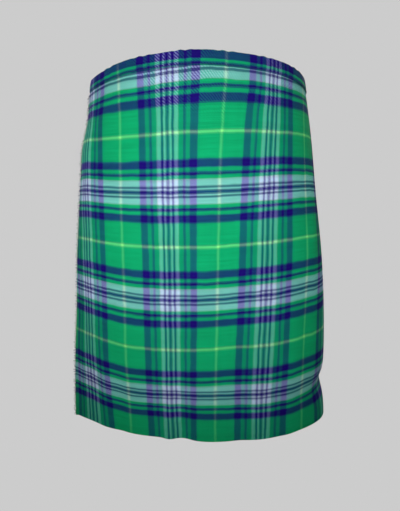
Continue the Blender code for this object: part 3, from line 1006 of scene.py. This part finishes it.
def make_prong(kit):
    centre = frame_layer(kit, kit.heel)
    radius = (WIRE + PRONG_WIRE) / 2 + SEAM_GAP
    front = kit.heel - FRAME_LENGTH
    front_top = frame_layer(kit, front) + radius
    turns = [math.radians(-30 + 12 * k) for k in range(11)]
    bends = [(kit.heel + radius * math.cos(t), centre + radius * math.sin(t)) for t in turns]
    for share in np.arange(1, 9) / 8:
        bends.append((mix(kit.heel, front - 0.001, share), mix(centre + radius, front_top, share)))
    points = [place(kit, [d], 0.0, [out])[0] for d, out in bends]
    return wire("prong_" + kit.name + "_wire", points, PRONG_WIRE, False)


buckles, prongs = {}, {}
for kit in strap_sets():
    buckles[kit.name] = make_frame(kit)
    prongs[kit.name] = make_prong(kit)
print("wire pieces:", len(buckles) + len(prongs))

# %% [markdown]
# Sewing
#
# A stitch is a short rounded bar of thread. One is modelled from a cylinder
# with its ends drawn in, and copied along each seam: under the waistband, down
# the sewn part of each pleat, and along both edges of each strap.

# %% One stitch, and copies of it along a seam
def model_stitch(length, radius):
    stitch = cylinder(6, radius, length)
    deselect_parts(stitch)
    for face in stitch.data.polygons:
        face.select = abs(face.normal.z) > 0.9
    with edit_mode(stitch):
        bpy.ops.mesh.inset(thickness=radius * 0.35, depth=radius * 0.5)
    return stitch


def sew(name, seams, size):
    """Copies of one stitch along lines of points, joined as one piece."""
    length, radius, pitch = size
    shape, cells = take_pattern(model_stitch(length, radius))
    copies = []
    for line in seams:
        steps = np.linalg.norm(np.diff(line, axis=0), axis=1)
        travel = np.concatenate([[0.0], np.cumsum(steps)])
        for k in range(int(travel[-1] / pitch)):
            at = (k + 0.5) * pitch
            ends = [[np.interp(t, travel, column) for column in line.T] for t in (at - length / 2, at + length / 2)]
            first, second = np.array(ends)
            turn = Vector(second - first).to_track_quat("Z", "Y").to_matrix()
            copies.append(shape @ np.array(turn).T + (first + second) / 2)
    piece = join_copies(name, copies, cells)
    smooth(piece)
    print(name, "stitches:", len(copies))
    return piece


# %% Seams
# Length, radius and pitch of the stitches
BAND_STITCH = (0.0026, 0.00032, 0.0040)
FELL_STITCH = (0.0016, 0.00022, 0.0055)
STRAP_STITCH = (0.0022, 0.00028, 0.0032)
# Places of the seams: above the band's edge, before a pleat's fold and from
# the middle of a strap. Round the slit a share of the girth stays free.
BAND_SEAM_UP = 0.0018
FELL_SEAM_IN = 0.0009
STRAP_SEAM_ACROSS = 0.0072
SLIT_FREE = 0.003

seam_z = WAIST_TOP - BAND_DEPTH + BAND_SEAM_UP
seam_girth = ring(seam_z).girth
seam_arcs = np.arange(APRON_EDGE + 0.004, BAND_DIVE_START, 0.002) * seam_girth
before_slit = seam_arcs[seam_arcs < (SLIT_START - SLIT_FREE) * seam_girth]
past_slit = seam_arcs[seam_arcs > (SLIT_END + SLIT_FREE) * seam_girth]
band_lines = [on_body(seam_z, arcs, band_out(seam_z, arcs) + 0.0001) for arcs in (before_slit, past_slit)]
band_seam = sew("waistband_stitches", band_lines, BAND_STITCH)

fell_lines = []
for i in range(PLEATS):
    line = []
    for z in np.linspace(WAIST_TOP - BAND_DEPTH - 0.004, FELL_END, 60):
        fold = APRON_SEAM * ring(z).girth + (i + 1) * pleat_sizes(z)[0]
        line.append(on_body(z, np.array([fold - FELL_SEAM_IN]), 0.0)[0])
    fell_lines.append(np.array(line))
fell_seam = sew("fell_stitches", fell_lines, FELL_STITCH)

strap_seams = {}
for kit in strap_sets():
    reach = np.linspace(kit.settle + 0.002, kit.heel - FRAME_LENGTH - 0.001, 30)
    tail = np.linspace(kit.heel + 0.006, kit.heel + TIP_REACH - 0.008, 40)
    lines = []
    for distances in (reach, tail):
        if distances[-1] > distances[0]:
            for across in (-STRAP_SEAM_ACROSS, STRAP_SEAM_ACROSS):
                lines.append(place(kit, distances, across, strap_layer(kit, distances) + STRAP_WALL / 2))
    strap_seams[kit.name] = sew("strap_" + kit.name + "_stitches", lines, STRAP_STITCH)

# %% [markdown]
# The twill
#
# In a two-and-two twill each thread goes over two and under two, and each row
# starts one thread further on, which draws the fine diagonal. So at every
# crossing the colour is that of the thread on top. The node group below finds
# the two thread numbers, looks both colours up in the sett, and picks one.
# Where two colours cross, the eye mixes them, as it does in real cloth.

# %% Node helpers
COLOURS = {
    "yellow": (0.26, 0.86, 0.26),
    "green": (0.003, 0.42, 0.155),
    "deep": (0.004, 0.23, 0.15),
    "navy": (0.011, 0.002, 0.17),
    "white": (0.55, 0.73, 0.88),
}


def new_group(name, inputs, outputs):
    group = bpy.data.node_groups.new(name, "ShaderNodeTree")
    for label, kind, value in inputs:
        socket = group.interface.new_socket(name=label, in_out="INPUT", socket_type=kind)
        if value is not None:
            socket.default_value = value
    for label, kind in outputs:
        group.interface.new_socket(name=label, in_out="OUTPUT", socket_type=kind)
    return group, group.nodes.new("NodeGroupInput"), group.nodes.new("NodeGroupOutput")


def feed(tree, value, socket):
    """Link a socket, or set a plain value. A colour is given without its alpha."""
    if isinstance(value, bpy.types.NodeSocket):
        tree.links.new(value, socket)
    else:
        socket.default_value = (*value, 1.0) if socket.type == "RGBA" else value


def feed_all(tree, node, values):
    for socket, value in values.items():
        feed(tree, value, node.inputs[socket])


def add_node(tree, kind, values=None, **settings):
    """A node of this kind, with its settings made and its inputs fed."""
    node = tree.nodes.new("ShaderNode" + kind)
    for setting, value in settings.items():
        setattr(node, setting, value)
    feed_all(tree, node, values or {})
    return node


def maths(tree, operation, *values):
    return add_node(tree, "Math", dict(enumerate(values)), operation=operation).outputs[0]


def vectors(tree, operation, first, second):
    return add_node(tree, "VectorMath", {0: first, 1: second}, operation=operation).outputs["Vector"]


# The mix node holds sockets for every kind of value, and these are its colours
MIX_FIRST, MIX_SECOND, MIX_RESULT = 6, 7, 2


def blend(tree, factor, first, second, kind="MIX"):
    values = {"Factor": factor, MIX_FIRST: first, MIX_SECOND: second}
    return add_node(tree, "Mix", values, data_type="RGBA", blend_type=kind).outputs[MIX_RESULT]


def power(tree, colour, exponent):
    return add_node(tree, "Gamma", {"Color": colour, "Gamma": exponent}).outputs["Color"]


def noise(tree, vector, scale, detail=2.0, roughness=0.5):
    values = {"Vector": vector, "Scale": scale, "Detail": detail, "Roughness": roughness}
    return add_node(tree, "TexNoise", values).outputs["Fac"]


def thread_colour(tree, sett, place):
    return add_node(tree, "Group", {"Place": place}, node_tree=sett).outputs["Color"]


print("thread colours:", ", ".join(COLOURS))


# %% One group for the threads of each way
def sett_group(name, colours, counts):
    """Colour of a thread from its place in the sett."""
    group, start, end = new_group(name, [("Place", "NodeSocketFloat", 0.0)], [("Color", "NodeSocketColor")])
    half = maths(group, "MULTIPLY", maths(group, "PINGPONG", start.outputs["Place"], 0.5), 2.0)
    ramp = add_node(group, "ValToRGB", {"Fac": half})
    ramp.color_ramp.interpolation = "CONSTANT"
    elements = ramp.color_ramp.elements
    elements.remove(elements[-1])
    threads = 0
    for colour, count in zip(colours, counts):
        place_in_half = 2 * threads / SETT_THREADS
        element = elements.new(place_in_half) if threads else elements[0]
        element.color = (*COLOURS[colour], 1.0)
        threads += count
    feed(group, ramp.outputs["Color"], end.inputs["Color"])
    return group


WEFT_LOOK = sett_group("weft_sett", WEFT_COLOURS, WEFT_COUNT)
WARP_LOOK = sett_group("warp_sett", WARP_COLOURS, WARP_COUNT)
print("stripes in half a sett:", len(WARP_COUNT))

# %% Threads that cross
# Fibres of the next threads show through the nap: this many threads off, and
# in this share
NAP_REACH = 1.4
NAP_MINGLE = 0.30


def thread_look(group, sett, place, offset, unevenness, fullness):
    """Thread number, colour and round section of the threads one way."""
    thread = maths(group, "MULTIPLY", place, SETT_THREADS)
    number = maths(group, "FLOOR", thread)
    dyed = []
    for neighbour in (-NAP_REACH, 0.0, NAP_REACH):
        beside = maths(group, "ADD", number, 0.5 + neighbour)
        dyed.append(thread_colour(group, sett, maths(group, "DIVIDE", beside, SETT_THREADS)))
    mingled = blend(group, NAP_MINGLE, dyed[1], blend(group, 0.5, dyed[0], dyed[2]))
    dye = add_node(group, "TexWhiteNoise", noise_dimensions="1D")
    feed(group, maths(group, "ADD", number, offset), dye.inputs["W"])
    shade = maths(group, "MULTIPLY_ADD", dye.outputs["Value"], unevenness, 1.0 - unevenness / 2)
    colour = blend(group, 1.0, mingled, maths(group, "MULTIPLY", shade, fullness), "MULTIPLY")
    across = maths(group, "SUBTRACT", maths(group, "FRACT", thread), 0.5)
    curve = maths(group, "MULTIPLY", maths(group, "MULTIPLY", across, across), 3.2)
    return number, colour, maths(group, "SUBTRACT", 1.0, curve)


# The weft is beaten up soft and full, so it covers more than the warp does.
# The darker thread wins where two colours cross, partly as their naps mingle and partly as painted shade between
# the threads.
WARP_COVER = 0.76
WEFT_SHARE = 0.62
BLEED_AND_SHADE = 0.62


def twill_group(warp_sett, weft_sett):
    """Colour and height of the twill at a place on the cloth, in setts."""
    inputs = [("Cloth", "NodeSocketVector", None), ("Nap sheen", "NodeSocketFloat", 0.05)]
    group, start, end = new_group("twill", inputs, [("Color", "NodeSocketColor"), ("Height", "NodeSocketFloat")])
    cloth = start.outputs["Cloth"]
    wander = add_node(group, "TexNoise", {"Vector": cloth, "Scale": 9.0})
    pull = vectors(group, "SUBTRACT", wander.outputs["Color"], (0.5, 0.5, 0.5))
    moved = vectors(group, "ADD", cloth, vectors(group, "MULTIPLY", pull, (0.016, 0.016, 0.0)))
    split = add_node(group, "SeparateXYZ", {"Vector": moved}).outputs
    warp, warp_colour, warp_round = thread_look(group, warp_sett, split["X"], 0.25, 0.14, 0.80)
    weft, weft_colour, weft_round = thread_look(group, weft_sett, split["Y"], 1000.25, 0.22, 1.02)
    step = maths(group, "FLOORED_MODULO", maths(group, "SUBTRACT", warp, weft), 4.0)
    over_weft = maths(group, "LESS_THAN", step, 2.0)
    within = maths(group, "GREATER_THAN", warp_round, 1.0 - 0.8 * WARP_COVER**2)
    warp_on_top = maths(group, "MULTIPLY", over_weft, within)
    top = blend(group, warp_on_top, weft_colour, warp_colour)
    # A mix of both colours, darker than their mean: nap bleed, and painted shade between the threads
    warp_part = power(group, warp_colour, 1.0 - WEFT_SHARE)
    weft_part = power(group, weft_colour, WEFT_SHARE)
    bled_and_shaded = blend(group, BLEED_AND_SHADE, top, vectors(group, "MULTIPLY", warp_part, weft_part))
    under = maths(group, "MULTIPLY", maths(group, "SUBTRACT", 1.0, warp_on_top), weft_round)
    height = maths(group, "MULTIPLY_ADD", warp_on_top, warp_round, under)
    fluff = noise(group, cloth, 420.0)
    wash = maths(group, "MULTIPLY_ADD", noise(group, cloth, 3.1, 3.0), 0.24, 0.88)
    streaks = vectors(group, "MULTIPLY", cloth, (3.0, 46.0, 1.0))
    slub = maths(group, "MULTIPLY_ADD", noise(group, streaks, 1.0, 3.0), 0.36, 0.82)
    # The gaps between the threads are darkened by their height: painted shade. The wash and the slub are the
    # cloth's own uneven tone.
    painted_gap_shade = maths(group, "MULTIPLY_ADD", height, 0.24, 0.82)
    shade = maths(group, "MULTIPLY", maths(group, "MULTIPLY", wash, slub), painted_gap_shade)
    lit = blend(group, 1.0, bled_and_shaded, shade, "MULTIPLY")
    # The nap lifts the colour towards a pale grey where the noise is high: loose fibres, and a painted sheen
    nap_sheen = maths(group, "MULTIPLY", fluff, start.outputs["Nap sheen"])
    feed(group, blend(group, nap_sheen, lit, (0.30, 0.40, 0.40)), end.inputs["Color"])
    feed(group, maths(group, "MULTIPLY_ADD", fluff, 0.35, height), end.inputs["Height"])
    return group


TWILL_GROUP = twill_group(WARP_LOOK, WEFT_LOOK)
print("nodes in the twill:", len(TWILL_GROUP.nodes))


# %% Materials of cloth and yarn
def new_material(name):
    material = bpy.data.materials.new(name)
    material.use_nodes = True
    return material, material.node_tree, material.node_tree.nodes["Principled BSDF"]


def bump(tree, shader, height, strength, distance):
    node = add_node(tree, "Bump", {"Strength": strength, "Distance": distance, "Height": height})
    feed(tree, node.outputs["Normal"], shader.inputs["Normal"])


def cloth_coordinates(tree):
    return add_node(tree, "UVMap", uv_map="cloth").outputs["UV"]


def object_place(tree):
    return add_node(tree, "TexCoord").outputs["Object"]


def twill_material(name, nap_sheen):
    material, tree, shader = new_material(name)
    cloth = add_node(tree, "Group", node_tree=TWILL_GROUP)
    feed_all(tree, cloth, {"Cloth": cloth_coordinates(tree), "Nap sheen": nap_sheen})
    height = cloth.outputs["Height"]
    feed_all(tree, shader, {
        "Base Color": cloth.outputs["Color"],
        "Roughness": maths(tree, "MULTIPLY_ADD", height, -0.08, 0.92),
        "Specular IOR Level": 0.05,
        "Sheen Weight": 0.01,
        "Sheen Roughness": 0.45,
    })
    bump(tree, shader, height, 0.5, 0.00022)
    return material


def yarn_material():
    material, tree, shader = new_material("fringe_yarn")
    split = add_node(tree, "SeparateXYZ", {"Vector": cloth_coordinates(tree)})
    dye = thread_colour(tree, WEFT_LOOK, split.outputs["Y"])
    wave = add_node(tree, "TexWave", {"Scale": 260.0, "Distortion": 2.0, "Vector": object_place(tree)})
    twist = wave.outputs["Fac"]
    # The twist's wave, and painted shade: the yarn's colour is darkened to between 0.35 and 0.65 of its dye
    shade = maths(tree, "MULTIPLY_ADD", twist, 0.30, 0.35)
    colour = blend(tree, 1.0, dye, shade, "MULTIPLY")
    feed_all(tree, shader, {"Base Color": colour, "Roughness": 0.92, "Sheen Weight": 0.15})
    bump(tree, shader, twist, 0.5, 0.0002)
    return material


MATERIALS = {
    "tartan_twill": twill_material("tartan_twill", 0.010),
    "waistband_twill": twill_material("waistband_twill", 0.010),
    "fringe_yarn": yarn_material(),
}
print("materials of cloth:", len(MATERIALS))


# %% Materials of leather, metal and thread
def leather_material():
    material, tree, shader = new_material("strap_leather")
    place_on = object_place(tree)
    grain = add_node(tree, "TexVoronoi", feature="DISTANCE_TO_EDGE")
    feed_all(tree, grain, {"Scale": 900.0, "Vector": place_on})
    wear = noise(tree, place_on, 55.0, 4.0, 0.6)
    pointiness = add_node(tree, "NewGeometry").outputs["Pointiness"]
    rub = maths(tree, "MULTIPLY", maths(tree, "SUBTRACT", pointiness, 0.5), 5.0)
    rub = maths(tree, "MAXIMUM", maths(tree, "ADD", rub, maths(tree, "MULTIPLY_ADD", wear, 0.8, -0.42)), 0.0)
    colour = blend(tree, wear, (0.020, 0.011, 0.007), (0.040, 0.022, 0.014))
    colour = blend(tree, maths(tree, "MINIMUM", rub, 0.5), colour, (0.16, 0.085, 0.045))
    rough = maths(tree, "MULTIPLY_ADD", wear, 0.28, 0.34)
    feed_all(tree, shader, {"Base Color": colour, "Roughness": rough})
    height = maths(tree, "MINIMUM", maths(tree, "MULTIPLY", grain.outputs["Distance"], 6.0), 1.0)
    bump(tree, shader, maths(tree, "MULTIPLY_ADD", wear, 0.5, height), 0.35, 0.00025)
    return material


def metal_material():
    material, tree, shader = new_material("buckle_metal")
    place_on = object_place(tree)
    scratches = noise(tree, place_on, 900.0, 3.0, 0.7)
    tarnish = noise(tree, place_on, 120.0, 4.0, 0.6)
    colour = blend(tree, tarnish, (0.80, 0.79, 0.76), (0.52, 0.50, 0.47))
    rough = maths(tree, "MULTIPLY_ADD", scratches, 0.22, 0.16)
    feed_all(tree, shader, {"Base Color": colour, "Metallic": 1.0, "Roughness": rough})
    bump(tree, shader, scratches, 0.15, 0.00008)
    return material


def thread_material(name, dark, light):
    material, tree, shader = new_material(name)
    twist = noise(tree, object_place(tree), 1500.0, 1.0)
    feed_all(tree, shader, {"Base Color": blend(tree, twist, dark, light), "Roughness": 0.75})
    bump(tree, shader, twist, 0.4, 0.0001)
    return material


MATERIALS["strap_leather"] = leather_material()
MATERIALS["buckle_metal"] = metal_material()
for name, dark, light in (
    ("green_thread", (0.004, 0.12, 0.06), (0.01, 0.22, 0.11)),
    ("navy_thread", (0.008, 0.005, 0.07), (0.02, 0.012, 0.14)),
    ("tan_thread", (0.16, 0.09, 0.045), (0.30, 0.19, 0.10)),
):
    MATERIALS[name] = thread_material(name, dark, light)
print("materials:", len(MATERIALS))


# %% Put the materials on the pieces, hang them on the root and hide the imported parts they replace
def finish_piece(piece, material):
    piece.data.materials.clear()
    piece.data.materials.append(MATERIALS[material])


def trim(piece, material, slot, *nodes):
    """A rigid or small piece: its finish, its body and the node it stands for."""
    finish_piece(piece, material)
    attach(piece, ROOT)
    if nodes:
        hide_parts(*nodes)


for piece in (over_apron, under_apron, pleated_back, fringe_strip):
    finish_piece(piece, "tartan_twill")
finish_piece(waistband, "waistband_twill")
trim(fringe_yarns, "fringe_yarn", "frayed_edge", "over_apron_fringe")
trim(fringe_strip, "tartan_twill", "frayed_edge", "over_apron_fringe")
trim(band_seam, "navy_thread", "waistband_tartan")
trim(fell_seam, "green_thread", "tartan")
for name in straps:
    trim(straps[name], "strap_leather", "strap_leather", "strap_" + name)
    trim(chapes[name], "strap_leather", "strap_leather", "chape_" + name)
    trim(buckles[name], "buckle_metal", "buckle_metal", "buckle_" + name)
    trim(prongs[name], "buckle_metal", "buckle_metal", "prong_" + name)
    trim(strap_seams[name], "tan_thread", "strap_leather")

declare_cloth(over_apron, "over_apron")
declare_cloth(under_apron, "under_apron")
declare_cloth(pleated_back, "pleated_back")
declare_cloth(waistband, "waistband")

# %% [markdown]
# Floor and light
#
# The photograph has an even pale grey all round the kilt and no shadow, so the
# floor lies well below the hem, as it would under a wearer. One large light
# from above the camera makes the hips bright and lets the hem fall away, and
# the grey room fills the rest.

# %% Floor, room and lights
BLACK = (0.0, 0.0, 0.0)
GREY = (0.604, 0.604, 0.604)
FLOOR_HEIGHT = -1.15


def as_seen(tree, socket, otherwise):
    """Full strength to the camera's eye, and less as light on the kilt."""
    seen = add_node(tree, "LightPath").outputs["Is Camera Ray"]
    strength = add_node(tree, "MapRange", {"Value": seen, "To Min": otherwise, "To Max": 1.0})
    feed(tree, strength.outputs["Result"], socket)


bpy.ops.object.select_all(action="DESELECT")
bpy.ops.mesh.primitive_grid_add(x_subdivisions=8, y_subdivisions=8, size=14.0, location=(0, 0, FLOOR_HEIGHT))
floor = bpy.context.object
floor.name = "floor"
material, tree, shader = new_material("floor_paper")
feed_all(tree, shader, {"Base Color": BLACK, "Roughness": 1.0, "Specular IOR Level": 0.0, "Emission Color": GREY})
as_seen(tree, shader.inputs["Emission Strength"], 0.08)
floor.data.materials.append(material)

world = bpy.data.worlds.new("studio")
world.use_nodes = True
bpy.context.scene.world = world
background = world.node_tree.nodes["Background"]
feed(world.node_tree, GREY, background.inputs["Color"])
as_seen(world.node_tree, background.inputs["Strength"], 0.17)


def area_light(name, location, target, size, watts, spread=180.0):
    data = bpy.data.lights.new(name, "AREA")
    data.shape = "DISK"
    data.size = size
    data.energy = watts
    data.spread = math.radians(spread)
    light = add_object(name, data)
    light.location = location
    light.rotation_euler = (Vector(target) - Vector(location)).to_track_quat("-Z", "Y").to_euler()


area_light("key", (-0.28, -1.46, 0.12), (0.006, -0.12, -0.185), 0.7, 1.46, 35.0)
area_light("fill", (1.35, -1.1, 0.4), (0.05, 0, -0.20), 1.2, 0.85)
area_light("back_left", (1.4, 1.7, 0.9), (0, 0, -0.3), 1.4, 21.0)
area_light("back_right", (-1.4, 1.7, 0.9), (0, 0, -0.3), 1.4, 21.0)
bpy.context.scene.view_settings.view_transform = "Standard"
